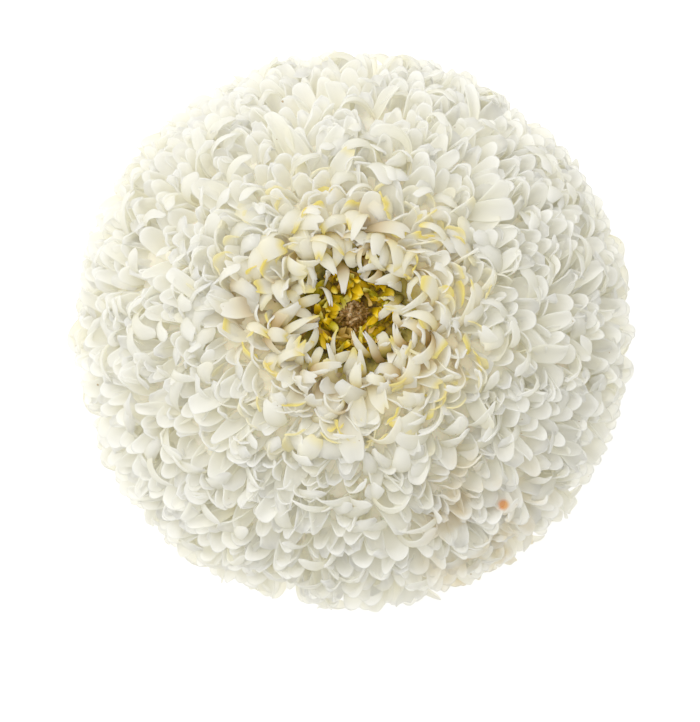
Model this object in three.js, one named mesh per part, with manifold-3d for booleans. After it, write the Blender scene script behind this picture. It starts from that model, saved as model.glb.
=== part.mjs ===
// A fully double shasta daisy bloom, picked with a short stub of stem and lying face up on its lowest
// florets. Millimetres, +Z up. The origin is on the surface that it lies on, under the middle of the bloom.
import * as THREE from "three";
import { mergeVertices } from "three/addons/utils/BufferGeometryUtils.js";
import Module from "manifold-3d";

const wasm = await Module();
wasm.setup();

const FULL_TURN = 2 * Math.PI;
const GOLDEN_ANGLE = Math.PI * (3 - Math.sqrt(5));

// The ball of floret tips
const BLOOM_RADIUS = 49.5; // reach of the tips at the widest part
const WAIST_HEIGHT = 31; // height of the widest part above the surface
const CROWN_RISE = 36; // from the widest part up to the tips on top
const SKIRT_DROP = 38; // from the widest part down to where the tips would meet, were there no surface
const SKIRT_FULLNESS = 0.8; // under 1 squares the underside
const LOWEST_TIP = -2; // under the surface, which then trims the lowest florets flat
const EYE_DIP = 6.5; // how far the tips sink towards the eye
const EYE_DIP_RADIUS = 9;

// The white body that the florets stand out of
const CORE_RADIUS = 38;
const CORE_TOP = 56; // height of its flat top, where the eye sits
const CORE_TOP_RADIUS = 7;
const CORE_SEAT = 15; // height of its flat underside, where the involucre sits
const CORE_SEAT_RADIUS = 14;
const CORE_SIDES = 14;
const CORE_RINGS = 3; // above and below the waist

// Any blade: its stations along the curve, and the width at each as a share of the widest
const BLADE_STATIONS = [0, 0.6, 0.88, 1];
const FLORET_OUTLINE = [0, 1, 0.86, 0];
const BRACT_OUTLINE = [0, 1, 0.5, 0];
const GROOVED_SIDES = 4; // a blade with a keel on its back and a groove down its face
const FLAT_SIDES = 3; // a blade with a keel and a flat face

// The ray florets, from the eye out and down to the underside. Angles are polar, about the bloom's middle.
const FIRST_TIP = degrees(8);
const LAST_TIP = degrees(151);
const CROWN_EDGE = degrees(50); // within it the florets get smaller and steeper towards the eye
const LAST_GROOVED = degrees(105); // further down, where little of a floret shows, it is flat
const WALK_STEP = degrees(0.05);
const EYE_PATCH = 9; // square millimetres of the ball that one floret covers at the eye
const SIDE_PATCH = 72; // beyond the crown
const SKIRT_PATCH = 98; // and down where they are flat
const EYE_WIDTH = 3.2; // widest part of a floret at the eye
const SIDE_WIDTH = 6.1;
const WIDTH_SPREAD = [0.9, 1.08];
const EYE_LEAN = degrees(8); // how far a tip lies outside its root
const SIDE_LEAN = degrees(15);
const EYE_SWAY = degrees(9); // how far a root strays round the axis from its tip
const SIDE_SWAY = degrees(3);
const FLORET_TWIST = degrees(23);
const FLORET_THICKNESS = 1;
const FLORET_CUP = 1.1; // how far the edges rise above the groove
const KNEE_REACH = [0.4, 0.8]; // how far it rises straight off the core, as a share of its length
const TIP_INSET = [-0.01, 0.04]; // how far its tip stays inside the ball, as a share of the ball's radius
const ROOT_SINK = 6; // how far a root goes into the core

// The florets under the head, from the involucre out: [radius, height] of the root, the knee and the tip
const UNDER_ROWS = [
  { count: 18, root: [13, 19], knee: [19, 12], tip: [27, 8], width: 4.6 },
  { count: 18, root: [20, 21], knee: [26, 11], tip: [32, 3], width: 5.4 },
];
const UNDER_THICKNESS = 1.1;
const UNDER_CUP = 0.3;
const UNDER_TWIST = degrees(9);
const UNDER_SWAY = degrees(3.5);
const UNDER_REACH = 1.5; // how much longer or shorter one may be

// The eye: a low mound, golden florets round its rim, and a brown button of withered disc florets
const MOUND_RADIUS = 5.8;
const MOUND_CHAMFER = 0.5;
const MOUND_HEIGHT = 1.4;
const MOUND_SIDES = 18;
const GOLDEN_FLORETS = 22;
const GOLDEN_ROOT_RADIUS = 4.5;
const GOLDEN_STAGGER = 0.35; // every other one is rooted this much further out, and the rest further in
const GOLDEN_SINK = 1.2;
const GOLDEN_RISE = [2.6, 3.7]; // height of a tip over the mound
const GOLDEN_KNEE = 0.7; // height of the bend, as a share of the tip's
const GOLDEN_SPLAY = [0, 0.7]; // how far a tip lies outside its root
const GOLDEN_WIDTH = 1.5;
const GOLDEN_THICKNESS = 0.7;
const GOLDEN_CUP = 0.25;
const GOLDEN_TWIST = degrees(20);
const GOLDEN_SWAY = degrees(4);
const DISC_RADIUS = 3.5;
const DISC_RIM = 0.6; // height of the button's edge
const DISC_HEIGHT = 2.4;
const DISC_RINGS = 4;
const DISC_SIDES = 16;
const DISC_FLORETS = 32;
const DISC_FLORET_LENGTH = 1.5;
const DISC_FLORET_RADIUS = 0.42; // at its mouth
const DISC_FLORET_FOOT = 0.25; // radius where it leaves the button
const DISC_FLORET_SIDES = 5;
const DISC_SPLAY = degrees(62); // lean of the outermost ones

// The green parts underneath
const CALYX_RADIUS = 12.5;
const CALYX_NECK_RADIUS = 4.2;
const CALYX_BOTTOM = 10.5;
const CALYX_RIM = 0.5; // thickness of the cup at its rim
const CALYX_FLARE = 1.4; // over 1 bends the cup's wall up towards its rim
const CALYX_RINGS = 4;
const CALYX_SIDES = 20;
const BRACTS_PER_ROW = 12;
const BRACT_WIDTHS = [3.2, 4, 4.8]; // one for each row, from the stem out
const BRACT_FIRST_ROOT = 4.8; // radius of the first row's roots
const BRACT_ROW_STEP = 2.1;
const BRACT_LENGTH = 5.6;
const BRACT_THICKNESS = 0.8;
const BRACT_CUP = 0.2;
const BRACT_ROOT = 1.2; // how far its root lies inside the cup
const BRACT_BELLY = 1.1; // how far its middle stands out from the cup
const BRACT_TIP = 0.5; // and its tip
const BRACT_STRAY = 0.4; // how much longer or shorter one may be
const BRACT_SWAY = degrees(2);
const STEM_RADIUS = 2.6;
const STEM_RIDGES = 6;
const STEM_RIDGE_HEIGHT = 0.18;
const STEM_SIDES = 24;

const RAY_SEED = 25;
const GOLDEN_SEED = 21;
const BRACT_SEED = 22;

const WHITE = { color: 0xf1efe2, roughness: 0.55, metalness: 0 };
const GOLD = { color: 0xc9a52c, roughness: 0.6, metalness: 0 };
const BROWN = { color: 0x7a5f3a, roughness: 0.8, metalness: 0 };
const GREEN = { color: 0x7c9150, roughness: 0.6, metalness: 0 };

function degrees(value) {
  return THREE.MathUtils.degToRad(value);
}

// Each piece seeds its own row of draws, so the bloom comes out the same each time.
function seedChance(seed) {
  THREE.MathUtils.seededRandom(seed);
}

function chance(low, high) {
  return THREE.MathUtils.lerp(low, high, THREE.MathUtils.seededRandom());
}

// From the value at the eye to the value beyond the crown, for a polar angle.
function outFromEye(polar, atEye, beyond) {
  return THREE.MathUtils.lerp(atEye, beyond, THREE.MathUtils.smoothstep(polar, FIRST_TIP, CROWN_EDGE));
}

// A closed three.js geometry as a solid that can be joined and cut.
function solidOf(geometry) {
  const bare = geometry.clone();
  bare.deleteAttribute("normal");
  bare.deleteAttribute("uv");
  const merged = mergeVertices(bare, 1e-4);
  const mesh = new wasm.Mesh({
    numProp: 3,
    vertProperties: new Float32Array(merged.getAttribute("position").array),
    triVerts: new Uint32Array(merged.index.array),
  });
  return new wasm.Manifold(mesh);
}

function joined(solids) {
  return solids.reduce((whole, next) => whole.add(next));
}

function meshOf(name, solid, look) {
  const { vertProperties, triVerts, numProp } = solid.getMesh();
  const geometry = new THREE.BufferGeometry();
  const corners = new THREE.InterleavedBuffer(vertProperties, numProp);
  geometry.setAttribute("position", new THREE.InterleavedBufferAttribute(corners, 3, 0));
  geometry.setIndex(new THREE.BufferAttribute(triVerts, 1));
  const flat = geometry.toNonIndexed();
  flat.computeVertexNormals();
  const mesh = new THREE.Mesh(flat, new THREE.MeshStandardMaterial({ ...look, flatShading: true }));
  mesh.name = name;
  return mesh;
}

// A profile of [radius, height] pairs, from the bottom up, turned about the bloom's axis.
function turned(profile, sides) {
  const points = profile.map(([radius, height]) => new THREE.Vector2(radius, height));
  return solidOf(new THREE.LatheGeometry(points, sides).rotateX(Math.PI / 2));
}

// The directions at one turn about the axis: away from the axis, and round it.
function outward(turn) {
  return new THREE.Vector3(Math.cos(turn), Math.sin(turn), 0);
}

function around(turn) {
  return new THREE.Vector3(-Math.sin(turn), Math.cos(turn), 0);
}

function onTurn(turn, radius, height) {
  return outward(turn).multiplyScalar(radius).setZ(height);
}

// Where a tip lies on the ball, as [radius, height].
function tipPlace(polar) {
  if (polar > Math.PI / 2) {
    const radius = BLOOM_RADIUS * Math.sin(polar) ** SKIRT_FULLNESS;
    const height = WAIST_HEIGHT - SKIRT_DROP * Math.abs(Math.cos(polar)) ** SKIRT_FULLNESS;
    return [radius, Math.max(height, LOWEST_TIP)];
  }
  const radius = BLOOM_RADIUS * Math.sin(polar);
  const dip = EYE_DIP * Math.exp(-((radius / EYE_DIP_RADIUS) ** 2));
  return [radius, WAIST_HEIGHT + CROWN_RISE * Math.cos(polar) - dip];
}

// Where the core's surface lies: an ellipse between its flat top and its flat seat.
function corePlace(polar) {
  const top = polar < Math.PI / 2;
  const flat = top ? CORE_TOP_RADIUS : CORE_SEAT_RADIUS;
  const rise = top ? CORE_TOP - WAIST_HEIGHT : WAIST_HEIGHT - CORE_SEAT;
  const radius = flat + (CORE_RADIUS - flat) * Math.sin(polar);
  return [radius, WAIST_HEIGHT + rise * Math.cos(polar)];
}

// One blade bent along a curve: a turned shape of three or four sides, pointed at both ends, whose rings
// become the blade's stations: in each ring the first corner is the keel on the back, two more are the edges,
// and the fourth, where there is one, is the groove down the face.
function blade({ curve, side, width, thickness, cup, sides, outline = FLORET_OUTLINE }) {
  const stations = BLADE_STATIONS.map((along, i) => new THREE.Vector2(outline[i] ? 1 : 0, along));
  const shape = new THREE.LatheGeometry(stations, sides, Math.PI);
  const corner = shape.getAttribute("position");
  const edgeReach = Math.sin(FULL_TURN / sides);
  for (let i = 0; i < corner.count; i++) {
    const station = i % stations.length;
    const isKeel = Math.floor(i / stations.length) % sides === 0;
    const share = outline[station];
    const across = corner.getX(i) / edgeReach;
    const place = curve.getPoint(BLADE_STATIONS[station]);
    if (share > 0) {
      const tangent = curve.getTangent(BLADE_STATIONS[station]);
      const face = new THREE.Vector3().crossVectors(tangent, side).normalize();
      place.addScaledVector(side, (-across * width * share) / 2);
      place.addScaledVector(face, Math.abs(across) * cup * share - (isKeel ? thickness : 0));
    }
    corner.setXYZ(i, place.x, place.y, place.z);
  }
  return solidOf(shape);
}

// Tips in a spiral from the eye to the underside: walking out over the ball, a floret is due each time the
// band walked has filled one floret's patch.
function tipSpots() {
  const spots = [];
  let due = 0;
  for (let polar = FIRST_TIP; polar < LAST_TIP; polar += WALK_STEP) {
    const [radius, height] = tipPlace(polar);
    const [nextRadius, nextHeight] = tipPlace(polar + WALK_STEP);
    const band = FULL_TURN * radius * Math.hypot(nextRadius - radius, nextHeight - height);
    due += band / (polar < LAST_GROOVED ? outFromEye(polar, EYE_PATCH, SIDE_PATCH) : SKIRT_PATCH);
    if (due > spots.length) {
      spots.push({ polar, turn: spots.length * GOLDEN_ANGLE });
    }
  }
  return spots;
}

// A floret rises off the core and bends out to its tip on the ball.
function rayFloret({ polar, turn }) {
  const sway = outFromEye(polar, EYE_SWAY, SIDE_SWAY);
  const rootTurn = turn + chance(-sway, sway);
  const root = onTurn(rootTurn, ...corePlace(polar - outFromEye(polar, EYE_LEAN, SIDE_LEAN)));
  const middle = new THREE.Vector3(0, 0, WAIST_HEIGHT);
  const tip = onTurn(turn, ...tipPlace(polar)).lerp(middle, chance(...TIP_INSET));
  tip.z = Math.max(tip.z, LOWEST_TIP);

  const rise = root.clone().sub(middle).normalize();
  const knee = root.clone().addScaledVector(rise, root.distanceTo(tip) * chance(...KNEE_REACH));
  root.addScaledVector(rise, -ROOT_SINK);
  return blade({
    curve: new THREE.QuadraticBezierCurve3(root, knee, tip),
    side: around(rootTurn).applyAxisAngle(rise, chance(-FLORET_TWIST, FLORET_TWIST)),
    width: outFromEye(polar, EYE_WIDTH, SIDE_WIDTH) * chance(...WIDTH_SPREAD),
    thickness: FLORET_THICKNESS,
    cup: FLORET_CUP,
    sides: polar < LAST_GROOVED ? GROOVED_SIDES : FLAT_SIDES,
  });
}

// The florets under the head leave the core beside the involucre and arch out and down.
function underFloret({ turn, root, knee, tip, width }) {
  const side = around(turn).applyAxisAngle(outward(turn), chance(-UNDER_TWIST, UNDER_TWIST));
  const tipTurn = turn + chance(-UNDER_SWAY, UNDER_SWAY);
  const [tipRadius, tipHeight] = tip;
  const curve = new THREE.QuadraticBezierCurve3(
    onTurn(turn, ...root),
    onTurn(turn, ...knee),
    onTurn(tipTurn, tipRadius + chance(-UNDER_REACH, UNDER_REACH), tipHeight),
  );
  return blade({ curve, side, width, thickness: UNDER_THICKNESS, cup: UNDER_CUP, sides: FLAT_SIDES });
}

function underFlorets() {
  return UNDER_ROWS.flatMap(({ count, ...row }, order) =>
    Array.from({ length: count }, (_, i) => {
      const turn = ((i + order / UNDER_ROWS.length) / count) * FULL_TURN;
      return underFloret({ turn, ...row });
    }),
  );
}

function coreProfile() {
  const steps = 2 * CORE_RINGS;
  const profile = [[0, CORE_SEAT]];
  for (let step = steps; step >= 0; step--) {
    profile.push(corePlace((step / steps) * Math.PI));
  }
  profile.push([0, CORE_TOP]);
  return profile;
}

// The weight of the bloom presses what reaches the surface flat against it.
function restedOnSurface(solid) {
  const span = 3 * BLOOM_RADIUS;
  const below = new THREE.BoxGeometry(span, span, span).translate(0, 0, -span / 2);
  return solid.subtract(solidOf(below));
}

function rayFlorets() {
  seedChance(RAY_SEED);
  const core = turned(coreProfile(), CORE_SIDES);
  return restedOnSurface(joined([core, ...tipSpots().map(rayFloret), ...underFlorets()]));
}

// One small golden floret, rooted in the mound's rim and curling up and out.
function goldenFloret(order, top) {
  const turn = (order / GOLDEN_FLORETS) * FULL_TURN;
  const radius = GOLDEN_ROOT_RADIUS + (order % 2 ? GOLDEN_STAGGER : -GOLDEN_STAGGER);
  const rise = chance(...GOLDEN_RISE);
  const splay = chance(...GOLDEN_SPLAY);
  const curve = new THREE.QuadraticBezierCurve3(
    onTurn(turn, radius, top - GOLDEN_SINK),
    onTurn(turn, radius + splay / 2, top + rise * GOLDEN_KNEE),
    onTurn(turn + chance(-GOLDEN_SWAY, GOLDEN_SWAY), radius + splay, top + rise),
  );
  return blade({
    curve,
    side: around(turn).applyAxisAngle(new THREE.Vector3(0, 0, 1), chance(-GOLDEN_TWIST, GOLDEN_TWIST)),
    width: GOLDEN_WIDTH,
    thickness: GOLDEN_THICKNESS,
    cup: GOLDEN_CUP,
    sides: FLAT_SIDES,
  });
}

function goldenFlorets() {
  seedChance(GOLDEN_SEED);
  const top = CORE_TOP + MOUND_HEIGHT;
  const profile = [[0, CORE_TOP], [MOUND_RADIUS, CORE_TOP], [MOUND_RADIUS - MOUND_CHAMFER, top], [0, top]];
  const florets = Array.from({ length: GOLDEN_FLORETS }, (_, i) => goldenFloret(i, top));
  return joined([turned(profile, MOUND_SIDES), ...florets]);
}

// A withered disc floret is a short stub, wider at its mouth, standing out of the button.
function discFloret(order, foot) {
  const share = Math.sqrt((order + 0.5) / DISC_FLORETS);
  const lean = share * DISC_SPLAY;
  const turn = order * GOLDEN_ANGLE;
  const stub = new THREE.CylinderGeometry(
    DISC_FLORET_RADIUS,
    DISC_FLORET_FOOT,
    DISC_FLORET_LENGTH,
    DISC_FLORET_SIDES,
  );
  stub.rotateX(Math.PI / 2).rotateY(lean).rotateZ(turn);
  const height = foot + DISC_RIM + (DISC_HEIGHT - DISC_RIM) * Math.cos(lean);
  const place = onTurn(turn, share * (DISC_RADIUS - DISC_FLORET_FOOT), height);
  return solidOf(stub.translate(place.x, place.y, place.z));
}

function discFlorets() {
  const foot = CORE_TOP + MOUND_HEIGHT;
  const profile = [[0, foot], [DISC_RADIUS, foot]];
  for (let ring = 0; ring <= DISC_RINGS; ring++) {
    const lift = (ring / DISC_RINGS) * (Math.PI / 2);
    const rise = (DISC_HEIGHT - DISC_RIM) * Math.sin(lift);
    profile.push([DISC_RADIUS * Math.cos(lift), foot + DISC_RIM + rise]);
  }
  const florets = Array.from({ length: DISC_FLORETS }, (_, i) => discFloret(i, foot));
  return joined([turned(profile, DISC_SIDES), ...florets]);
}

// Height of the outside of the cup under the head, at a radius.
function calyxHeight(radius) {
  const share = Math.max(radius - CALYX_NECK_RADIUS, 0) / (CALYX_RADIUS - CALYX_NECK_RADIUS);
  return CALYX_BOTTOM + (CORE_SEAT - CALYX_BOTTOM - CALYX_RIM) * share ** CALYX_FLARE;
}

function bract(row, turn) {
  const rootRadius = BRACT_FIRST_ROOT + row * BRACT_ROW_STEP;
  const tipRadius = rootRadius + BRACT_LENGTH + chance(-BRACT_STRAY, BRACT_STRAY);
  const middle = (rootRadius + tipRadius) / 2;
  const curve = new THREE.QuadraticBezierCurve3(
    onTurn(turn, rootRadius, calyxHeight(rootRadius) + BRACT_ROOT),
    onTurn(turn, middle, calyxHeight(middle) - BRACT_BELLY),
    onTurn(turn, tipRadius, Math.min(calyxHeight(tipRadius) - BRACT_TIP, CORE_SEAT - CALYX_RIM)),
  );
  return blade({
    curve,
    side: around(turn),
    width: BRACT_WIDTHS[row],
    thickness: BRACT_THICKNESS,
    cup: BRACT_CUP,
    sides: FLAT_SIDES,
    outline: BRACT_OUTLINE,
  });
}

// The cup of green bracts that holds the head, in rows that overlap like tiles.
function involucre() {
  seedChance(BRACT_SEED);
  const profile = [[0, CALYX_BOTTOM]];
  for (let ring = 0; ring <= CALYX_RINGS; ring++) {
    const radius = THREE.MathUtils.lerp(CALYX_NECK_RADIUS, CALYX_RADIUS, ring / CALYX_RINGS);
    profile.push([radius, calyxHeight(radius)]);
  }
  profile.push([CALYX_RADIUS, CORE_SEAT], [0, CORE_SEAT]);
  const bracts = [];
  for (let row = 0; row < BRACT_WIDTHS.length; row++) {
    for (let i = 0; i < BRACTS_PER_ROW; i++) {
      const turn = ((i + row / 2) / BRACTS_PER_ROW) * FULL_TURN;
      bracts.push(bract(row, turn + chance(-BRACT_SWAY, BRACT_SWAY)));
    }
  }
  return joined([turned(profile, CALYX_SIDES), ...bracts]);
}

// A short ridged stub of the flower stalk, cut across level with the surface.
function stem() {
  const outline = Array.from({ length: STEM_SIDES }, (_, i) => {
    const turn = (i / STEM_SIDES) * FULL_TURN;
    const radius = STEM_RADIUS + STEM_RIDGE_HEIGHT * Math.cos(STEM_RIDGES * turn);
    return new THREE.Vector2(radius * Math.cos(turn), radius * Math.sin(turn));
  });
  const options = { depth: CALYX_BOTTOM, bevelEnabled: false };
  return solidOf(new THREE.ExtrudeGeometry(new THREE.Shape(outline), options));
}

const bloom = new THREE.Group();
bloom.add(meshOf("ray_florets", rayFlorets(), WHITE));
bloom.add(meshOf("golden_florets", goldenFlorets(), GOLD));
bloom.add(meshOf("disc_florets", discFlorets(), BROWN));
bloom.add(meshOf("involucre", involucre(), GREEN));
bloom.add(meshOf("stem", stem(), GREEN));

export default bloom;
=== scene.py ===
# %% [markdown]
# # A fully double shasta daisy
#
# The real thing is a picked bloom lying face up: many hundreds of soft white florets in a ball, a small eye
# of golden florets round a brown, withered button, and a green cup with a stub of stem underneath. The
# solids loaded here give its true size and place, and everything below is made in metres round them.

# %% Load the measured solids
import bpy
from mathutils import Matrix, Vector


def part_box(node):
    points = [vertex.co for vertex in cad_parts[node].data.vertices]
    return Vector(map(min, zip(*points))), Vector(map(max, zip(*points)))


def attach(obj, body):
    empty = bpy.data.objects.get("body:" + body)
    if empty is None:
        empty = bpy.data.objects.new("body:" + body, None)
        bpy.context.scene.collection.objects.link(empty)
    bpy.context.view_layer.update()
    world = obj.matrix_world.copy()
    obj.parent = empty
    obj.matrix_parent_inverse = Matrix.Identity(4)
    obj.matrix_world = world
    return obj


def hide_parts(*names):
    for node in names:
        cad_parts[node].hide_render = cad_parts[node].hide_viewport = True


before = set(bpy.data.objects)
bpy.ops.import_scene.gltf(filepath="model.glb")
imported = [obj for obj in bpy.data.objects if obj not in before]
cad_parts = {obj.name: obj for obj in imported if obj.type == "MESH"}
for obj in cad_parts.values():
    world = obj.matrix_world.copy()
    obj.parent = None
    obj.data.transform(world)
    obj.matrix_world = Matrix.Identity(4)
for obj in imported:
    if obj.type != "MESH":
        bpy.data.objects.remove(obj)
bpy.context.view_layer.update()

# %% [markdown]
# ## The ball of tips
#
# All florets of a double bloom end on one rounded surface, dipped at the eye and pressed flat underneath.
# It could be sculpted by eye, but then each floret would need its own place. Written as two short formulas,
# one for the surface of tips and one for the body that the florets grow from, it places every floret alike.

# %% The surface of tips and the body within
import math
import random

import bmesh
import bpy
from mathutils import Matrix, Quaternion, Vector, noise

MM = 0.001
FULL_TURN = 2 * math.pi
GOLDEN_ANGLE = math.pi * (3 - math.sqrt(5))

rays_low, rays_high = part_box("ray_florets")
BALL_RADIUS = 49.5 * MM
WAIST = 31 * MM          # height of the widest part
CROWN_RISE = 36 * MM     # from the widest part up to the tips on top
SKIRT_DROP = 38 * MM
EYE_DIP = 6.5 * MM
EYE_DIP_RADIUS = 9 * MM
BODY_RADIUS = 43.3 * MM
BODY_RISE = 31.2 * MM
BODY_DIP = 6.2 * MM
BODY_DIP_RADIUS = 9.5 * MM
BODY_SEAT = 16 * MM
BODY_SEAT_RADIUS = 12 * MM
FLOOR_GAP = 0.4 * MM
BELLY = 0.8              # under 1, so the ball is fuller below its waist than a sphere


def smooth_share(value, low, high):
    share = min(max((value - low) / (high - low), 0), 1)
    return share * share * (3 - 2 * share)


def mix(low, high, share):
    return low + (high - low) * share


def outward(turn):
    return Vector((math.cos(turn), math.sin(turn), 0))


def around(turn):
    return Vector((-math.sin(turn), math.cos(turn), 0))


def on_turn(turn, radius, height):
    return outward(turn) * radius + Vector((0, 0, height))


def tip_place(polar):
    """Radius and height of the surface of tips, for an angle down from the axis."""
    if polar > math.pi / 2:
        radius = BALL_RADIUS * math.sin(polar) ** BELLY
        return radius, max(WAIST - SKIRT_DROP * abs(math.cos(polar)) ** BELLY, FLOOR_GAP)
    radius = BALL_RADIUS * math.sin(polar)
    dip = EYE_DIP * math.exp(-((radius / EYE_DIP_RADIUS) ** 2))
    return radius, WAIST + CROWN_RISE * math.cos(polar) - dip


def body_place(polar):
    """Radius and height of the body that the florets grow from."""
    if polar > math.pi / 2:
        radius = mix(BODY_SEAT_RADIUS, BODY_RADIUS, math.sin(polar))
        return radius, WAIST + (WAIST - BODY_SEAT) * math.cos(polar)
    radius = BODY_RADIUS * math.sin(polar)
    dip = BODY_DIP * math.exp(-((radius / BODY_DIP_RADIUS) ** 2))
    return radius, WAIST + BODY_RISE * math.cos(polar) - dip


print("the white solid is", round((rays_high[0] - rays_low[0]) / MM, 1), "mm wide")
print("the tips reach", round(tip_place(math.pi / 2)[0] / MM, 1), "mm out at the waist")

# %% [markdown]
# ## From mesh to piece
#
# Every piece below ends the same way: its mesh becomes an object that stays at the origin, takes a finish,
# rides with the bloom and stands for one of the measured solids. Doing that in one helper keeps the pieces
# alike. Thin ones get their real thickness from a Solidify modifier, and soft edges from one level of
# subdivision, which is left off where a piece is hardly seen.


# %% The helper that finishes a piece
def make_piece(name, mesh_in_hand, node, finish, thickness=0.0, levels=1):
    mesh = bpy.data.meshes.new(name)
    mesh_in_hand.to_mesh(mesh)
    mesh_in_hand.free()
    mesh.shade_smooth()
    mesh.materials.append(finish)
    piece = bpy.data.objects.new(name, mesh)
    bpy.context.scene.collection.objects.link(piece)
    if thickness:
        wall = piece.modifiers.new("Wall", "SOLIDIFY")
        wall.thickness = thickness
        wall.offset = 0
    if levels:
        softened = piece.modifiers.new("Soft", "SUBSURF")
        softened.levels = levels
        softened.render_levels = levels
    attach(piece, "root")
    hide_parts(node)
    print(name, len(mesh.polygons), "faces before its modifiers")


# %% [markdown]
# ## One blade
#
# A floret is a soft strap, narrow and rolled at its root, wider and more open towards its end, with edges
# that turn up towards its face. It could be cut from a curve with a profile, but a profile can't unroll on
# its way. So each one starts as a flat grid, whose points are then bent along a curve and rolled about it.

# %% The line that a blade follows
STRAIGHT_SHARE = 0.3


def square_to(ahead, wanted):
    """The direction square to ahead that comes nearest to the wanted one."""
    return (wanted - ahead * wanted.dot(ahead)).normalized()


def way_along(root, ahead, toward, run, reach, bend, share):
    """Place and direction on a strap that runs straight, then curls through an angle toward its face."""
    if share < STRAIGHT_SHARE:
        return root + ahead * run * share / STRAIGHT_SHARE, ahead
    turned = bend * (share - STRAIGHT_SHARE) / (1 - STRAIGHT_SHARE)
    bow = reach / bend
    place = root + ahead * (run + bow * math.sin(turned)) + toward * bow * (1 - math.cos(turned))
    return place, ahead * math.cos(turned) + toward * math.sin(turned)


print("a blade runs straight for", STRAIGHT_SHARE, "of its rows, then curls")

# %% [markdown]
# ## The shape of a blade
#
# The end of a floret is rounded with a shallow notch, and its edges ripple. All of that is worked out for
# each point of the flat grid from its place across and along the strap. The finishes below need to know how
# near the eye a floret grows, so that is kept with each point, together with a number drawn for each
# floret.

# %% Bending a flat grid into a blade
OPENED_AT = 0.6          # share of the length where the middle one of the three rolls holds
END_ROUNDNESS = 2.5
RIPPLES = (9, 3, 7)      # along a blade, across it, and from one blade to the next


def lay_blade(mesh, bones, width, growth, roll, notch, across, along,
              twist=(0.0, 0.0), root_width=0.4, widest=0.75, taper=0.4, round_end=0.05, ruffle=0.0):
    """One strap along its bones, rolled about its middle line; growth is kept for its finish."""
    made = bmesh.ops.create_grid(mesh, x_segments=across, y_segments=along, size=0.5, calc_uvs=True)
    kept = mesh.verts.layers.float_vector["growth"]
    side = bones[2].cross(bones[1])
    for vert in made["verts"]:
        sideways, share = 2 * vert.co.x, vert.co.y + 0.5
        shape = smooth_share(share, 0, widest)
        end = smooth_share(share, widest, 1)
        flat_width = width * mix(root_width, 1, shape) * (1 - taper * end)
        rounded = round_end * abs(sideways) ** END_ROUNDNESS
        reach = share - end * (rounded + notch * max(0, 1 - 2 * abs(sideways)))
        place, ahead = way_along(*bones, reach)
        face = ahead.cross(Quaternion(ahead, mix(*twist, share)) @ side)
        level = face.cross(ahead)
        opened = mix(roll[0], roll[1], smooth_share(share, 0, OPENED_AT))
        half_roll = mix(opened, roll[2], smooth_share(share, OPENED_AT, 1))
        bow = flat_width / (2 * half_roll)
        lift = bow * (1 - math.cos(sideways * half_roll))
        ripple = math.sin(RIPPLES[0] * share + RIPPLES[1] * sideways + RIPPLES[2] * growth[2])
        lift += ruffle * abs(sideways) * ripple
        vert.co = place + level * bow * math.sin(sideways * half_roll) + face * lift
        vert.co.z = max(vert.co.z, FLOOR_GAP)
        vert[kept] = growth


def new_blades():
    mesh = bmesh.new()
    mesh.loops.layers.uv.new("strap")
    mesh.verts.layers.float_vector.new("growth")
    return mesh


print("a blade's edges ripple", round(RIPPLES[0] / FULL_TURN, 1), "times along it")

# %% [markdown]
# ## Small steps for the finishes
#
# A floret's colour changes from its root to its tip and from the eye to the skirt, and fine veins run along
# it. Each finish is a chain of colour ramps, blends and noise. Wired by hand the same few steps would be
# written again and again, so each is a short helper that takes sockets and gives one back.

# %% Ramps, blends and noise
def new_finish(name, roughness, scatter=0.0):
    finish = bpy.data.materials.new(name)
    finish.use_nodes = True
    surface = finish.node_tree.nodes["Principled BSDF"]
    surface.inputs["Roughness"].default_value = roughness
    surface.inputs["Subsurface Weight"].default_value = scatter
    print("finish:", name)
    return finish, finish.node_tree, surface


def add(tree, kind, **settings):
    node = tree.nodes.new(kind)
    for setting, value in settings.items():
        setattr(node, setting, value)
    return node


def ramp(tree, source, stops):
    """A colour ramp fed from a socket; stops are (place, colour)."""
    node = add(tree, "ShaderNodeValToRGB")
    tree.links.new(source, node.inputs["Fac"])
    for element, (place, colour) in zip(node.color_ramp.elements, (stops[0], stops[-1])):
        element.position = place
        element.color = (*colour, 1)
    for place, colour in stops[1:-1]:
        node.color_ramp.elements.new(place).color = (*colour, 1)
    return node.outputs["Color"]


def blend_colours(tree, share, first, second, how="MIX"):
    node = add(tree, "ShaderNodeMix", data_type="RGBA", blend_type=how)
    node.clamp_factor = True
    for socket, value in ((node.inputs[0], share), (node.inputs[6], first), (node.inputs[7], second)):
        if isinstance(value, bpy.types.NodeSocket):
            tree.links.new(value, socket)
        else:
            socket.default_value = (*value, 1) if isinstance(value, tuple) else value
    return node.outputs[2]


def grain(tree, where, scale, detail, stretch=(1, 1, 1)):
    placed = add(tree, "ShaderNodeMapping")
    placed.inputs["Scale"].default_value = stretch
    tree.links.new(where, placed.inputs["Vector"])
    node = add(tree, "ShaderNodeTexNoise")
    node.inputs["Scale"].default_value = scale
    node.inputs["Detail"].default_value = detail
    tree.links.new(placed.outputs["Vector"], node.inputs["Vector"])
    return node.outputs["Fac"]


def math_step(tree, how, first, second=None):
    node = add(tree, "ShaderNodeMath", operation=how)
    for socket, value in ((node.inputs[0], first), (node.inputs[1], second)):
        if isinstance(value, bpy.types.NodeSocket):
            tree.links.new(value, socket)
        elif value is not None:
            socket.default_value = value
    return node.outputs[0]


def times(tree, first, second):
    return math_step(tree, "MULTIPLY", first, second)


def tinted(tree, share, strength, base, tint):
    """A base multiplied by a tint, fully where a share times a strength is one."""
    return blend_colours(tree, times(tree, share, strength), base, tint, "MULTIPLY")


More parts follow.
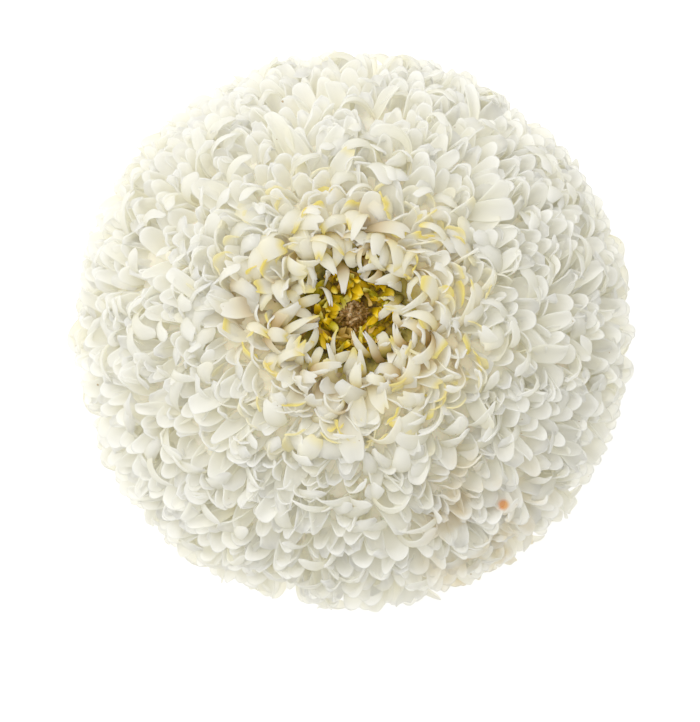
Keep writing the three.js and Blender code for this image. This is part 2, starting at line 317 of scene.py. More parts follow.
def rising(tree, source, low, high):
    """Nothing up to a low value of a socket, and one from a high value on."""
    return ramp(tree, source, [(low, (0, 0, 0)), (high, (1, 1, 1))])


print("helpers ready for ramps, blends, noise and sums")

# %% [markdown]
# ## Where a point lies, and what light does there
#
# A strap has its own map, so a pattern on it bends with it. A spot that crosses several florets has to lie
# in the space of the whole bloom instead. Thin tissue lets light through to its other side, which a
# translucent share gives. Bumps stand in for veins that are too fine to model.

# %% Maps, bumps, light and spots
BUMP_STRENGTH = 0.5
DEPTH_WEIGHT = 0.1       # a spot is seen from above, so height counts for less than width


def strap_map(tree):
    """The coordinates of a surface, and the places across and along its strap."""
    where = add(tree, "ShaderNodeTexCoord")
    strap = add(tree, "ShaderNodeSeparateXYZ")
    tree.links.new(where.outputs["UV"], strap.inputs[0])
    return where.outputs, strap.outputs["X"], strap.outputs["Y"]


def growth_map(tree):
    """How near the eye a floret grows, and the number drawn for it."""
    grown = add(tree, "ShaderNodeSeparateXYZ")
    attribute = add(tree, "ShaderNodeAttribute", attribute_name="growth")
    tree.links.new(attribute.outputs["Vector"], grown.inputs[0])
    return grown.outputs["Y"], grown.outputs["Z"]


def from_axis(tree, where, reach):
    """Distance from the bloom's axis as a share of a reach."""
    flat = add(tree, "ShaderNodeVectorMath", operation="MULTIPLY")
    tree.links.new(where, flat.inputs[0])
    flat.inputs[1].default_value = (1 / reach, 1 / reach, 0)
    distance = add(tree, "ShaderNodeVectorMath", operation="LENGTH")
    tree.links.new(flat.outputs[0], distance.inputs[0])
    return distance.outputs["Value"]


def raise_bumps(tree, surface, height, depth):
    bump = add(tree, "ShaderNodeBump")
    bump.inputs["Strength"].default_value = BUMP_STRENGTH
    bump.inputs["Distance"].default_value = depth
    tree.links.new(height, bump.inputs["Height"])
    tree.links.new(bump.outputs["Normal"], surface.inputs["Normal"])


def let_light_through(tree, surface, colour, share):
    """A share of the light that falls on one side comes out on the other."""
    through = add(tree, "ShaderNodeBsdfTranslucent")
    tree.links.new(colour, through.inputs["Color"])
    both = add(tree, "ShaderNodeMixShader")
    both.inputs["Fac"].default_value = share
    tree.links.new(surface.outputs["BSDF"], both.inputs[1])
    tree.links.new(through.outputs["BSDF"], both.inputs[2])
    tree.links.new(both.outputs["Shader"], tree.nodes["Material Output"].inputs["Surface"])


def near_spot(tree, where, spot, reach, core):
    """One inside a core round a spot, falling to none at its reach."""
    flat = add(tree, "ShaderNodeVectorMath", operation="MULTIPLY")
    tree.links.new(where, flat.inputs[0])
    flat.inputs[1].default_value = (1, 1, DEPTH_WEIGHT)
    apart = add(tree, "ShaderNodeVectorMath", operation="DISTANCE")
    tree.links.new(flat.outputs[0], apart.inputs[0])
    apart.inputs[1].default_value = (spot.x, spot.y, spot.z * DEPTH_WEIGHT)
    fade = add(tree, "ShaderNodeMapRange", clamp=True)
    tree.links.new(apart.outputs["Value"], fade.inputs["Value"])
    fade.inputs["From Min"].default_value = core
    fade.inputs["From Max"].default_value = reach
    fade.inputs["To Min"].default_value = 1
    fade.inputs["To Max"].default_value = 0
    return fade.outputs["Result"]


print("bumps at strength", BUMP_STRENGTH, "and spots that fade", 1 / DEPTH_WEIGHT, "times slower with depth")

# %% [markdown]
# ## White floret tissue
#
# The outer florets are cream at the root and nearly white at the tip. Towards the eye the roots turn golden
# tan, and round its very rim almost black, with the white starting ever later; this darkening is partly
# their own colour and partly painted shade of the deep gaps between them. Some florets near the eye have a
# tan throat, which is painted shade, and some on the crown a yellow tip. Painted pictures could show all
# that, but ramps along the strap's own map stay sharp and need none, and a number drawn for each floret
# picks which ones differ.

# %% Colours along a white floret
YELLOW = (0.98, 0.86, 0.26)


def floret_colours(tree, along, near_eye, drawn):
    # Each ramp darkens and warms towards the root, more so near the eye: partly the florets' own colour,
    # partly painted shade of the gaps.
    outer = ramp(tree, along, [
        (0.0, (0.90, 0.855, 0.67)),
        (0.35, (0.95, 0.935, 0.83)),
        (0.7, (0.978, 0.971, 0.918)),
        (1.0, (0.99, 0.986, 0.965)),
    ])
    inner = ramp(tree, along, [
        (0.0, (0.22, 0.13, 0.02)),
        (0.22, (0.66, 0.46, 0.11)),
        (0.42, (0.95, 0.87, 0.53)),
        (0.62, (0.988, 0.965, 0.83)),
        (0.93, (0.99, 0.983, 0.93)),
    ])
    innermost = ramp(tree, along, [
        (0.0, (0.03, 0.02, 0.001)),
        (0.25, (0.10, 0.07, 0.003)),
        (0.42, (0.66, 0.50, 0.09)),
        (0.58, (0.97, 0.94, 0.74)),
        (0.93, (0.99, 0.983, 0.93)),
    ])
    at_rim = rising(tree, near_eye, 0.92, 0.99)
    eyeward = rising(tree, near_eye, 0.5, 0.93)
    plain = blend_colours(tree, at_rim, blend_colours(tree, eyeward, outer, inner), innermost)
    # Painted shade: some florets near the eye get a tan throat that stands for the shaded hollows between
    # them.
    shaded_throat = ramp(tree, along, [
        (0.3, (0.32, 0.17, 0.03)),
        (0.5, (0.66, 0.46, 0.17)),
        (0.66, (0.93, 0.85, 0.58)),
        (0.82, (0.985, 0.97, 0.90)),
    ])
    with_shaded_throat = ramp(tree, drawn, [(0.16, (1, 1, 1)), (0.24, (0, 0, 0))])
    plain = blend_colours(tree, times(tree, with_shaded_throat, eyeward), plain, shaded_throat)
    tipped = rising(tree, along, 0.8, 0.95)
    some = rising(tree, drawn, 0.6, 0.8)
    crownward = rising(tree, near_eye, 0.25, 0.6)
    return blend_colours(tree, times(tree, times(tree, tipped, some), crownward), plain, YELLOW)


print("yellow tips:", YELLOW)

# %% [markdown]
# ## Veins, specks and two marks
#
# Fine veins run along every floret, and small brown specks are strewn over the bloom. At the lower right it
# has a cloudy bruise and, within that, one small orange stain. Both marks could be a picture laid over the
# bloom. A distance from a point does the same without one, and noise breaks the bruise up.

# %% White tissue
STAIN = Vector((25.5, -31.5, 50.5)) * MM
STAIN_REACH = 1.1 * MM
STAIN_CORE = 0.6 * MM
ORANGE = (0.97, 0.52, 0.18)
BRUISE = Vector((23, -35.5, 49.5)) * MM
BRUISE_REACH = 15 * MM
BRUISE_CORE = 5 * MM
BRUISE_SHARE = 0.7
BRUISED_TAN = (0.82, 0.70, 0.42)
SPECK_BROWN = (0.45, 0.30, 0.14)
LIGHT_SHARE = 0.66       # of the light that falls on a floret, what comes out on its other side


def marked(tree, in_bloom, base):
    """A base with its specks, its bruise and its stain."""
    speck = rising(tree, grain(tree, in_bloom, 900.0, 1.0), 0.79, 0.83)
    specked = blend_colours(tree, speck, base, SPECK_BROWN)
    cloud = rising(tree, grain(tree, in_bloom, 150.0, 4.0), 0.5, 0.66)
    bruised = near_spot(tree, in_bloom, BRUISE, BRUISE_REACH, BRUISE_CORE)
    bruised = times(tree, times(tree, bruised, cloud), BRUISE_SHARE)
    browned = blend_colours(tree, bruised, specked, BRUISED_TAN)
    return blend_colours(tree, near_spot(tree, in_bloom, STAIN, STAIN_REACH, STAIN_CORE), browned, ORANGE)


def white_tissue():
    finish, tree, surface = new_finish("white floret tissue", roughness=0.5)
    surface.inputs["Specular IOR Level"].default_value = 0.18
    where, _, along = strap_map(tree)
    near_eye, drawn = growth_map(tree)
    base = floret_colours(tree, along, near_eye, drawn)
    warm = tinted(tree, drawn, 0.5, base, (0.995, 0.987, 0.94))
    veins = grain(tree, where["UV"], 6.0, 2.0, (1.4, 0.25, 1))
    veined = tinted(tree, veins, 0.3, warm, (0.95, 0.945, 0.87))
    coloured = marked(tree, where["Object"], veined)
    tree.links.new(coloured, surface.inputs["Base Color"])
    raise_bumps(tree, surface, veins, 0.2 * MM)
    let_light_through(tree, surface, coloured, LIGHT_SHARE)
    return finish


WHITE_TISSUE = white_tissue()

# %% [markdown]
# ## Where the white florets stand
#
# They come in one spiral, from the eye out and down, each a golden angle on from the last, as on the real
# head. Each tip has a patch of the surface to itself, small round the eye and large underneath. The tips
# could be set ring by ring, but rings would show. A walk down the ball sets one whenever enough surface has
# gone by. A second, coarser walk does it for the shorter florets that fill the gaps of the first.

# %% Where each tip goes
FIRST_TIP = math.radians(6.3)
EYE_EDGE = math.radians(25)
CROWN_EDGE = math.radians(50)
SKIRT_EDGE = math.radians(105)
LAST_TIP = math.radians(158)
WALK_STEP = math.radians(0.02)
# Square millimetres for each floret: at the eye, on the crown, beyond it, and below the waist.
PATCHES = (7.8, 9.2, 12.4, 30.0)
LOWER_FIRST = math.radians(11)
LOWER_EDGE = math.radians(45)
LOWER_LAST = math.radians(82)
# The same for the shorter florets between them: at the eye and beyond.
LOWER_PATCHES = (11.0, 14.0)


def patch_at(polar):
    if polar > math.pi / 2:
        return mix(PATCHES[2], PATCHES[3], smooth_share(polar, math.pi / 2, SKIRT_EDGE))
    if polar < EYE_EDGE:
        return mix(PATCHES[0], PATCHES[1], smooth_share(polar, FIRST_TIP, EYE_EDGE))
    return mix(PATCHES[1], PATCHES[2], smooth_share(polar, EYE_EDGE, CROWN_EDGE))


def lower_patch_at(polar):
    return mix(*LOWER_PATCHES, smooth_share(polar, EYE_EDGE, LOWER_EDGE))


def tip_spots(first, last, patch):
    """Angles down and round for tips from one angle to another, each with a patch of its own."""
    spots = []
    due = 0.0
    polar = first
    while polar < last:
        radius, height = tip_place(polar)
        next_radius, next_height = tip_place(polar + WALK_STEP)
        band = FULL_TURN * radius * math.hypot(next_radius - radius, next_height - height)
        due += band / (patch(polar) * MM * MM)
        if due > len(spots):
            spots.append((polar, len(spots) * GOLDEN_ANGLE))
        polar += WALK_STEP
    return spots


SPOTS = tip_spots(FIRST_TIP, LAST_TIP, patch_at)
LOWER_SPOTS = tip_spots(LOWER_FIRST, LOWER_LAST, lower_patch_at)
print(len(SPOTS), "white florets and", len(LOWER_SPOTS), "shorter ones between them")

# %% [markdown]
# ## Three ways to grow
#
# No two florets of the real bloom lie alike, yet they fall into kinds. Most lean outwards and open like
# spoons. Others are rolled, swing to one side and hook, as most do round the eye. A few bend back. One
# average floret with a little chance in it would look combed, so a draw picks the kind first, and further
# draws set its angles.

# %% The habit of a floret
draws = random.Random(11)
SPOON_SHARES = (0.66, 0.76, 0.2)     # on the crown, on the flank, at the rim of the eye
HOOKED_UP_TO = 0.9


def degrees_between(low, high):
    return math.radians(draws.uniform(low, high))


def spoon(flank):
    side = mix(18, 15, flank)
    swing = degrees_between(-22, 22)
    lean = degrees_between(30, 62)
    side_lean = degrees_between(-side, side)
    return lean, side_lean, swing, degrees_between(20, 95), draws.uniform(8, 11.5), 1.0


def hook(rim, flank):
    side = mix(mix(34, 26, flank), 52, rim)
    swing = degrees_between(mix(15, 0, rim), mix(75, 55, rim)) * draws.choice((-1, 1))
    curl = degrees_between(90, mix(180, 250, rim))
    lean = degrees_between(0, 45)
    return lean, degrees_between(-side, side), swing, curl, draws.uniform(8, 11.5), 0.75


def bent_back():
    curl = -degrees_between(20, 60)
    lean = degrees_between(0, 40)
    side_lean = degrees_between(-30, 30)
    return lean, side_lean, degrees_between(-50, 50), curl, draws.uniform(7, 9), 0.8


def floret_habit(rim, flank):
    """Lean out, lean to the side, swing, curl, the length of the curled part in mm, and a share of width."""
    kind = draws.random()
    if kind < mix(mix(*SPOON_SHARES[:2], flank), SPOON_SHARES[2], rim):
        return spoon(flank)
    if kind < HOOKED_UP_TO:
        return hook(rim, flank)
    return bent_back()


print("spoons on the crown:", SPOON_SHARES[0], "of the florets")

# %% [markdown]
# ## One white floret
#
# Its root is down in the head, where nobody can measure it, and its tip is what the eye sees. So it is
# placed by its tip: the strap is first bent at the origin, and then slid until its highest point lies on
# the surface of tips. Neighbours of a real bloom lean together in clumps. A seeded noise over the ball
# gives that, on top of the draws that are each floret's own.

# %% Placing one floret by its tip
noise.seed_set(4)
CLUMPS = 4.5             # how closely the clumps follow one another over the ball
CLUMP_LEAN = math.radians(24)
CLUMP_TURN = 0.09        # radians round the axis
RIM = (math.radians(10), math.radians(20))         # the rim of the eye fades out between these
FLANK = (math.radians(35), math.radians(60))       # the flank of the ball begins between these
UPRIGHT = (math.radians(80), math.radians(110))    # florets lean ever less between these
ROOTED = 2 * MM          # how deep a root goes into the body, and the least length of the straight part
VIEWED_SHARE = 0.65      # the place along a floret that stands over its spot


def from_middle(polar, turn):
    """The way out from the middle of the ball, for an angle down from the axis and one round it."""
    return outward(turn) * math.sin(polar) + Vector((0, 0, math.cos(polar)))


def bones_at(polar, turn, lean, side_lean, swing, bend, reach):
    """The line of a floret with its root at the origin, and the way out of the ball there."""
    normal = from_middle(polar, turn)
    eyeward = normal.cross(around(turn))
    ahead = (normal - eyeward * math.tan(lean) + around(turn) * math.tan(side_lean)).normalized()
    toward = Quaternion(ahead, swing) @ square_to(ahead, eyeward)
    tip_radius, tip_height = tip_place(polar)
    body_radius, body_height = body_place(polar)
    gap = math.hypot(tip_radius - body_radius, tip_height - body_height)
    rise = abs(reach / bend) * math.sin(min(abs(bend), math.pi / 2))
    run = max(gap + ROOTED - rise, ROOTED) / ahead.dot(normal)
    return (Vector(), ahead, toward, run, reach, bend), normal


def root_at(polar, turn, bones, normal, deep):
    """Where the root goes, so that the highest point of the curl lies a little under the surface of tips."""
    places = [way_along(*bones, STRAIGHT_SHARE + 0.1 * step)[0] for step in range(8)]
    peak = max(place.dot(normal) for place in places)
    seen = way_along(*bones, VIEWED_SHARE)[0]
    return on_turn(turn, *tip_place(polar)) - seen + normal * (seen.dot(normal) - peak - deep)


def ray_floret(mesh, polar, turn, across, along, sunk=0.0):
    """One floret whose highest point lies on the surface of tips, at an angle down from the axis."""
    eye = 1 - smooth_share(polar, FIRST_TIP, CROWN_EDGE)
    rim = 1 - smooth_share(polar, *RIM)
    flank = smooth_share(polar, *FLANK)
    stray = noise.noise_vector(from_middle(polar, turn) * CLUMPS)
    turn += CLUMP_TURN * stray.x + draws.uniform(-1, 1) * mix(0.05, 0.14, eye)
    polar += mix(0.10, 0.03, eye) * stray.y
    lean, side_lean, swing, bend, reach, share_of_width = floret_habit(rim, flank)
    side_lean += CLUMP_LEAN * stray.x
    lean = mix(lean, -degrees_between(10, 48), rim) * mix(1, 0.25, smooth_share(polar, *UPRIGHT))
    reach *= mix(1, 0.8, eye) * MM
    bones, normal = bones_at(polar, turn, lean, side_lean, swing, bend, reach)
    deep = sunk + (draws.uniform(0, mix(0.6, 1.5, eye)) + mix(1.1, 0.7, eye) * stray.z) * MM
    lay_blade(
        mesh,
        (root_at(polar, turn, bones, normal, deep), *bones[1:]),
        width=mix(5.2, 2.7, rim) * MM * share_of_width * draws.uniform(0.72, 1.18),
        growth=(polar, eye, draws.random()),
        roll=(
            degrees_between(mix(90, 60, rim), 125),
            degrees_between(mix(45, 15, eye), mix(80, 50, eye)),
            degrees_between(mix(50, 5, eye), mix(100, 50, eye)),
        ),
        twist=(degrees_between(-20, 20), degrees_between(-60, 60) * mix(mix(0.9, 0.55, flank), 1.1, eye)),
        root_width=mix(0.6, 0.8, rim),
        widest=mix(0.7, 0.6, rim),
        taper=mix(draws.uniform(0.1, 0.45), 0.7, rim),
        round_end=mix(0.09, 0.05, eye),
        notch=draws.uniform(0.0, mix(0.07, 0.28, eye)),
        ruffle=draws.uniform(0.1, mix(0.6, 0.35, eye)) * MM,
        across=across,
        along=along,
    )


print("florets lean in clumps by up to", round(math.degrees(CLUMP_LEAN)), "degrees")

# %% [markdown]
# ## The ball of white florets
#
# The walk is cut into five rings by angle, from the eye down to the skirt, so that no piece grows too
# heavy. Florets near the eye are seen best and get the finest grid, those underneath the coarsest. The
# shorter ones between them stay dull in the gaps, so they are sunk and left without subdivision.

# %% Growing the white florets
FLORET_WALL = 0.28 * MM
SUNK = 1.1 * MM
# For each ring: its name, the angle in degrees down to which it reaches, and the faces across and along.
RINGS = (
    ("florets_round_eye", 33, 4, 7),
    ("florets_crown", 58, 3, 7),
    ("florets_shoulder", 80, 3, 6),
    ("florets_side", 102, 3, 5),
    ("florets_skirt", 180, 3, 5),
)
low = 0.0
for ring_name, high, across, along in RINGS:
    blades = new_blades()
    for spot_polar, spot_turn in SPOTS:
        if low <= math.degrees(spot_polar) < high:
            ray_floret(blades, spot_polar, spot_turn, across, along)
    make_piece(ring_name, blades, "ray_florets", WHITE_TISSUE, thickness=FLORET_WALL)
    low = high

shorter = new_blades()
for spot_polar, spot_turn in LOWER_SPOTS:
    ray_floret(shorter, spot_polar, spot_turn, 3, 6, sunk=SUNK)
make_piece("florets_between", shorter, "ray_florets", WHITE_TISSUE,
           thickness=FLORET_WALL, levels=0)

# %% [markdown]
# ## The body of the head
#
# Between the florets one looks into the imported lower halves of all the others, and at the bottom of the
# gaps the head itself. One turned body stands for both. It is made by spinning a profile, because it is
# round and hardly seen, and seeded noise then makes it lumpy above the lowest part. Its colour goes with
# the distance from the axis: dark olive in the eye, tan round it, and cream under the outer florets. These
# colours are darker than the florets' own, partly painted shade of the deep gaps, near black round the eye.

# %% Finish of the body
GROUND_REACH = 40 * MM


def body_tissue():
    finish, tree, surface = new_finish("packed lower florets", roughness=0.7, scatter=0.2)
    surface.inputs["Subsurface Scale"].default_value = 0.25 * MM
    surface.inputs["Specular IOR Level"].default_value = 0.1
    where = add(tree, "ShaderNodeTexCoord")
    out = from_axis(tree, where.outputs["Object"], GROUND_REACH)
    # Partly painted shade: darker than the florets, browner towards the eye and near black round its rim.
    ground = ramp(tree, out, [
        (0.0, (0.25, 0.11, 0.002)),
        (0.14, (0.24, 0.12, 0.002)),
        (0.2, (0.075, 0.055, 0.001)),
        (0.26, (0.28, 0.20, 0.025)),
        (0.33, (0.64, 0.50, 0.21)),
        (0.44, (0.78, 0.69, 0.45)),
        (0.7, (0.80, 0.75, 0.58)),
    ])
    crumple = grain(tree, where.outputs["Object"], 900.0, 4.0)
    # Painted shade: in the eye, noise darkens the body in patches that stand for the shaded hollows of
    # crumpled tissue.
    hollow_shade = rising(tree, crumple, 0.4, 0.62)
    in_eye = ramp(tree, out, [(0.2, (1, 1, 1)), (0.3, (0.08, 0.08, 0.08))])
    base = tinted(tree, hollow_shade, in_eye, ground, (0.16, 0.15, 0.03))
    tree.links.new(base, surface.inputs["Base Color"])
    raise_bumps(tree, surface, crumple, 0.6 * MM)
    return finish


BODY_TISSUE = body_tissue()


# %% Spinning the body
def spun(profile, steps):
    mesh = bmesh.new()
    ring = [mesh.verts.new(on_turn(0, radius, height)) for radius, height in profile]
    lines = [mesh.edges.new(pair) for pair in zip(ring, ring[1:])]
    bmesh.ops.spin(mesh, geom=ring + lines, cent=(0, 0, 0), axis=(0, 0, 1), angle=FULL_TURN, steps=steps,
                   use_merge=True)
    bmesh.ops.remove_doubles(mesh, verts=mesh.verts, dist=0.01 * MM)
    bmesh.ops.recalc_face_normals(mesh, faces=mesh.faces)
    return mesh


BODY_STEPS = 60
LUMP = 1.1 * MM
LUMP_SPACING = 2.2 * MM
body_profile = [(0.0, BODY_SEAT)]
body_profile += [body_place(math.pi * (1 - step / BODY_STEPS)) for step in range(BODY_STEPS + 1)]
packed = spun(body_profile, 200)
packed.normal_update()
for vert in packed.verts:
    if vert.co.z > WAIST / 2:
        vert.co += vert.normal * LUMP * noise.noise(vert.co / LUMP_SPACING)
make_piece("floret_body", packed, "ray_florets", BODY_TISSUE, levels=0)

# %% [markdown]
# ## Golden tissue
#
# Round the button stand small florets that never opened fully. Some are golden, some olive, and a few have
# withered to brown. All three go near black at the root, partly painted shade of the gaps between them.
# One finish does for all three, because the number drawn for each floret chooses its ramp.


# %% Golden finish
def golden_tissue():
    finish, tree, surface = new_finish("golden floret tissue", roughness=0.5, scatter=0.25)
    surface.inputs["Subsurface Radius"].default_value = (1.0, 0.7, 0.2)
    surface.inputs["Specular IOR Level"].default_value = 0.03
    surface.inputs["Subsurface Scale"].default_value = 0.25 * MM
    where, _, along = strap_map(tree)
    _, drawn = growth_map(tree)
    # Each ramp goes near black at the root: partly painted shade of the gaps between the golden florets.
    golden = ramp(tree, along, [
        (0.0, (0.03, 0.02, 0.001)),
        (0.4, (0.18, 0.10, 0.001)),
        (0.7, (0.46, 0.23, 0.001)),
        (0.9, (0.80, 0.44, 0.003)),
        (1.0, (0.82, 0.60, 0.06)),
    ])
    olive = ramp(tree, along, [
        (0.0, (0.02, 0.02, 0.001)),
        (0.45, (0.12, 0.10, 0.002)),
        (0.75, (0.36, 0.27, 0.004)),
        (1.0, (0.62, 0.50, 0.07)),
    ])
    withered = ramp(tree, along, [
        (0.0, (0.03, 0.015, 0.001)),
        (0.6, (0.22, 0.10, 0.006)),
        (1.0, (0.46, 0.25, 0.04)),
    ])
    greener = rising(tree, drawn, 0.42, 0.54)
    drier = rising(tree, drawn, 0.8, 0.85)
    base = blend_colours(tree, drier, blend_colours(tree, greener, golden, olive), withered)
    veins = grain(tree, where["UV"], 5.0, 3.0, (1.5, 0.6, 1))
    tree.links.new(tinted(tree, veins, 0.4, base, (0.7, 0.6, 0.4)), surface.inputs["Base Color"])
    raise_bumps(tree, surface, veins, 0.1 * MM)
    return finish


GOLDEN_TISSUE = golden_tissue()

# %% [markdown]
# ## The golden florets
#
# They are the same straps at a smaller size, crumpled and curled like claws. So the same blade makes them,
# with tighter curves and more ripple, and with draws of their own for every measure.

# %% Growing the golden florets
golden_draws = random.Random(5)
EYE_FLOOR = 56 * MM
GOLDEN_COUNT = 110
GOLDEN_WALL = 0.2 * MM
golden = new_blades()
for order in range(GOLDEN_COUNT):
    spread = math.sqrt((order + 0.5) / GOLDEN_COUNT)
    golden_turn = order * GOLDEN_ANGLE
    radius = mix(2.4, 6.2, spread) * MM
    root = on_turn(golden_turn, radius, EYE_FLOOR - 0.5 * MM)
    ahead = (Vector((0, 0, 1)) + golden_draws.uniform(-0.1, 0.35) * outward(golden_turn)).normalized()
    inward = square_to(ahead, -outward(golden_turn))
    lay_blade(
        golden,
        (
            root,
            ahead,
            Quaternion(ahead, golden_draws.uniform(-2.2, 2.2)) @ inward,
            mix(0.6, 2.6, spread) * golden_draws.uniform(0.5, 1.3) * MM,
            golden_draws.uniform(2.8, 5.6) * MM,
            golden_draws.uniform(0.9, 3.6),
        ),
        width=golden_draws.uniform(0.9, 2.1) * MM,
        growth=(0.0, 1.0, golden_draws.random()),
        roll=(1.6, golden_draws.uniform(0.2, 0.9), golden_draws.uniform(0.1, 0.7)),
        twist=(golden_draws.uniform(-0.4, 0.4), golden_draws.uniform(-2.0, 2.0)),
        taper=0.6,
        notch=golden_draws.uniform(-0.1, 0.2),
        ruffle=golden_draws.uniform(0.4, 1.2) * MM,
        across=3,
        along=5,
    )
make_piece("golden_ring", golden, "golden_florets", GOLDEN_TISSUE, thickness=GOLDEN_WALL)

# %% [markdown]
# ## The withered button
#
# The true middle of the bloom is a button of tiny tubular florets, spent and brown. Each is a little cup
# with its mouth pushed in. They could be modelled tube by tube, but at this size small cones do: the mouth
# is inset and pushed down, and seeded leans and sizes make them look dried up. Their brown comes from noise
# alone.


# %% Withered finish
def withered_tissue():
    finish, tree, surface = new_finish("withered floret tissue", roughness=0.5, scatter=0.1)
    surface.inputs["Subsurface Scale"].default_value = 0.4 * MM
    surface.inputs["Specular IOR Level"].default_value = 0.05
    where = add(tree, "ShaderNodeTexCoord")
    patches = grain(tree, where.outputs["Object"], 1100.0, 4.0, (1, 1, 0.35))
    base = ramp(tree, patches, [
        (0.30, (0.02, 0.008, 0.001)),
        (0.45, (0.13, 0.055, 0.008)),
        (0.54, (0.27, 0.125, 0.03)),
        (0.66, (0.62, 0.40, 0.17)),
    ])
    tree.links.new(base, surface.inputs["Base Color"])
    raise_bumps(tree, surface, patches, 0.3 * MM)
    return finish


WITHERED_TISSUE = withered_tissue()

# %% Cups of the button
button_draws = random.Random(3)
BUTTON_RADIUS = 2.5 * MM
BUTTON_RISE = 1.7 * MM
BUTTON_FOOT = 57.2 * MM
BUTTON_CUPS = 64
CUP_SIDES = 6


def button_dome():
    profile = [(0.0, BUTTON_FOOT), (BUTTON_RADIUS, BUTTON_FOOT)]
    profile += [(BUTTON_RADIUS * math.cos(lift), BUTTON_FOOT + BUTTON_RISE * math.sin(lift))
                for lift in (math.radians(20 * step) for step in range(1, 5))]
    return spun(profile + [(0.0, BUTTON_FOOT + BUTTON_RISE)], 24)


def add_cup(mesh, place):
    radius = button_draws.uniform(0.2, 0.36) * MM
    tall = button_draws.uniform(1.2, 2.4) * MM
    made = bmesh.ops.create_cone(mesh, cap_ends=True, segments=CUP_SIDES,
                                 radius1=radius * 0.6, radius2=radius, depth=tall, matrix=place)
    faces_made = {face for vert in made["verts"] for face in vert.link_faces}
    caps = [face for face in faces_made if len(face.verts) == CUP_SIDES]
    mouth = max(caps, key=lambda face: (place.inverted() @ face.calc_center_median()).z)
    bmesh.ops.inset_region(mesh, faces=[mouth], thickness=radius * 0.3)
    bmesh.ops.translate(mesh, verts=mouth.verts, vec=-(place.to_3x3() @ Vector((0, 0, tall * 0.35))))


button = button_dome()
for order in range(BUTTON_CUPS):
    spread = math.sqrt((order + 0.5) / BUTTON_CUPS)
    cup_turn = order * GOLDEN_ANGLE
    lean = -spread * math.radians(48) + button_draws.uniform(-0.4, 0.4)
    dome_height = BUTTON_FOOT + BUTTON_RISE * math.sqrt(max(1 - spread * spread, 0))
    place = Matrix.Translation(on_turn(cup_turn, spread * BUTTON_RADIUS * 0.95, dome_height + 0.3 * MM))
    place = place @ Matrix.Rotation(cup_turn, 4, "Z") @ Matrix.Rotation(lean, 4, "Y")
    add_cup(button, place @ Matrix.Rotation(button_draws.uniform(-0.3, 0.3), 4, "X"))
make_piece("withered_button", button, "disc_florets", WITHERED_TISSUE)

# %% [markdown]
# ## Bract tissue
#
# A bract is a tough green scale with fine veins and a pale, papery edge. The edge could be a second piece,
# but it is the same leaf, so the strap's own map paints it: pale wherever a point is far from the middle
# line.


# %% Bract finish
def bract_tissue():
    finish, tree, surface = new_finish("bract tissue", roughness=0.55, scatter=0.08)
    surface.inputs["Subsurface Scale"].default_value = 0.6 * MM
    where, across, along = strap_map(tree)
    off_middle = math_step(tree, "ABSOLUTE", math_step(tree, "SUBTRACT", across, 0.5))
    edge = rising(tree, off_middle, 0.34, 0.46)
    lengthwise = ramp(tree, along, [
        (0.0, (0.16, 0.23, 0.06)),
        (0.6, (0.22, 0.31, 0.09)),
        (0.9, (0.30, 0.34, 0.14)),
        (1.0, (0.45, 0.36, 0.20)),
    ])
    papery = blend_colours(tree, edge, lengthwise, (0.72, 0.68, 0.50))
    veins = grain(tree, where["UV"], 5.0, 2.0, (8, 1.0, 1))
    tree.links.new(tinted(tree, veins, 0.5, papery, (0.6, 0.65, 0.4)), surface.inputs["Base Color"])
    raise_bumps(tree, surface, veins, 0.2 * MM)
    return finish


BRACT_TISSUE = bract_tissue()

# %% [markdown]
# ## The green cup
#
# Under the head the bracts overlap like tiles, in rows round a shallow cup. The cup is round, so it is spun
# from a profile. The bracts are the same blade once more, broad, flat and pointed, and each row is set half
# a place round from the last, as tiles are.

# %% The cup
CUP_RADIUS = 12.5 * MM
NECK_RADIUS = 4.2 * MM
CUP_BOTTOM = 10.5 * MM
CUP_RIM = 15.5 * MM
CUP_LIP = 1.2 * MM
CUP_FLARE = 1.4
CUP_PARTS = 6


def cup_height(radius):
    share = max(radius - NECK_RADIUS, 0) / (CUP_RADIUS - NECK_RADIUS)
    return CUP_BOTTOM + (CUP_RIM - CUP_LIP - CUP_BOTTOM) * share ** CUP_FLARE


cup_profile = [(0.0, CUP_BOTTOM)]
for part in range(CUP_PARTS + 1):
    cup_radius = mix(NECK_RADIUS, CUP_RADIUS, part / CUP_PARTS)
    cup_profile.append((cup_radius, cup_height(cup_radius)))
cup_profile += [(CUP_RADIUS, CUP_RIM), (0.0, CUP_RIM + 1 * MM)]
make_piece("cup_under_head", spun(cup_profile, 40), "involucre", BRACT_TISSUE)

# %% The bracts
bract_draws = random.Random(9)
BRACT_BEND = math.radians(24)
BRACT_ROWS = 4
BRACTS_IN_ROW = 16
BRACT_WALL = 0.3 * MM
bracts = new_blades()
for row in range(BRACT_ROWS):
    for order in range(BRACTS_IN_ROW):
        bract_turn = (order + row / 2) / BRACTS_IN_ROW * FULL_TURN + bract_draws.uniform(-0.05, 0.05)
        start = (4.4 + row * 1.7) * MM
        finish_at = start + bract_draws.uniform(5.2, 6.4) * MM
        root = on_turn(bract_turn, start, cup_height(start) + 0.5 * MM)
        tip = on_turn(bract_turn, finish_at, min(cup_height(finish_at), CUP_RIM) - 0.5 * MM)
        chord = (tip - root).normalized()
        upward = square_to(chord, Vector((0, 0, 1)))
        ahead = chord * math.cos(BRACT_BEND / 2) - upward * math.sin(BRACT_BEND / 2)
        lay_blade(
            bracts,
            (root, ahead, square_to(ahead, upward), 0.5 * MM, (tip - root).length - 0.5 * MM, BRACT_BEND),
            width=(3.0 + row * 0.35) * MM,
            growth=(0.0, 0.0, bract_draws.random()),
            roll=(0.9, 0.5, 0.5),
            root_width=0.75,
            widest=0.45,
            round_end=0.22,
            notch=-0.03,
            across=4,
            along=6,
        )
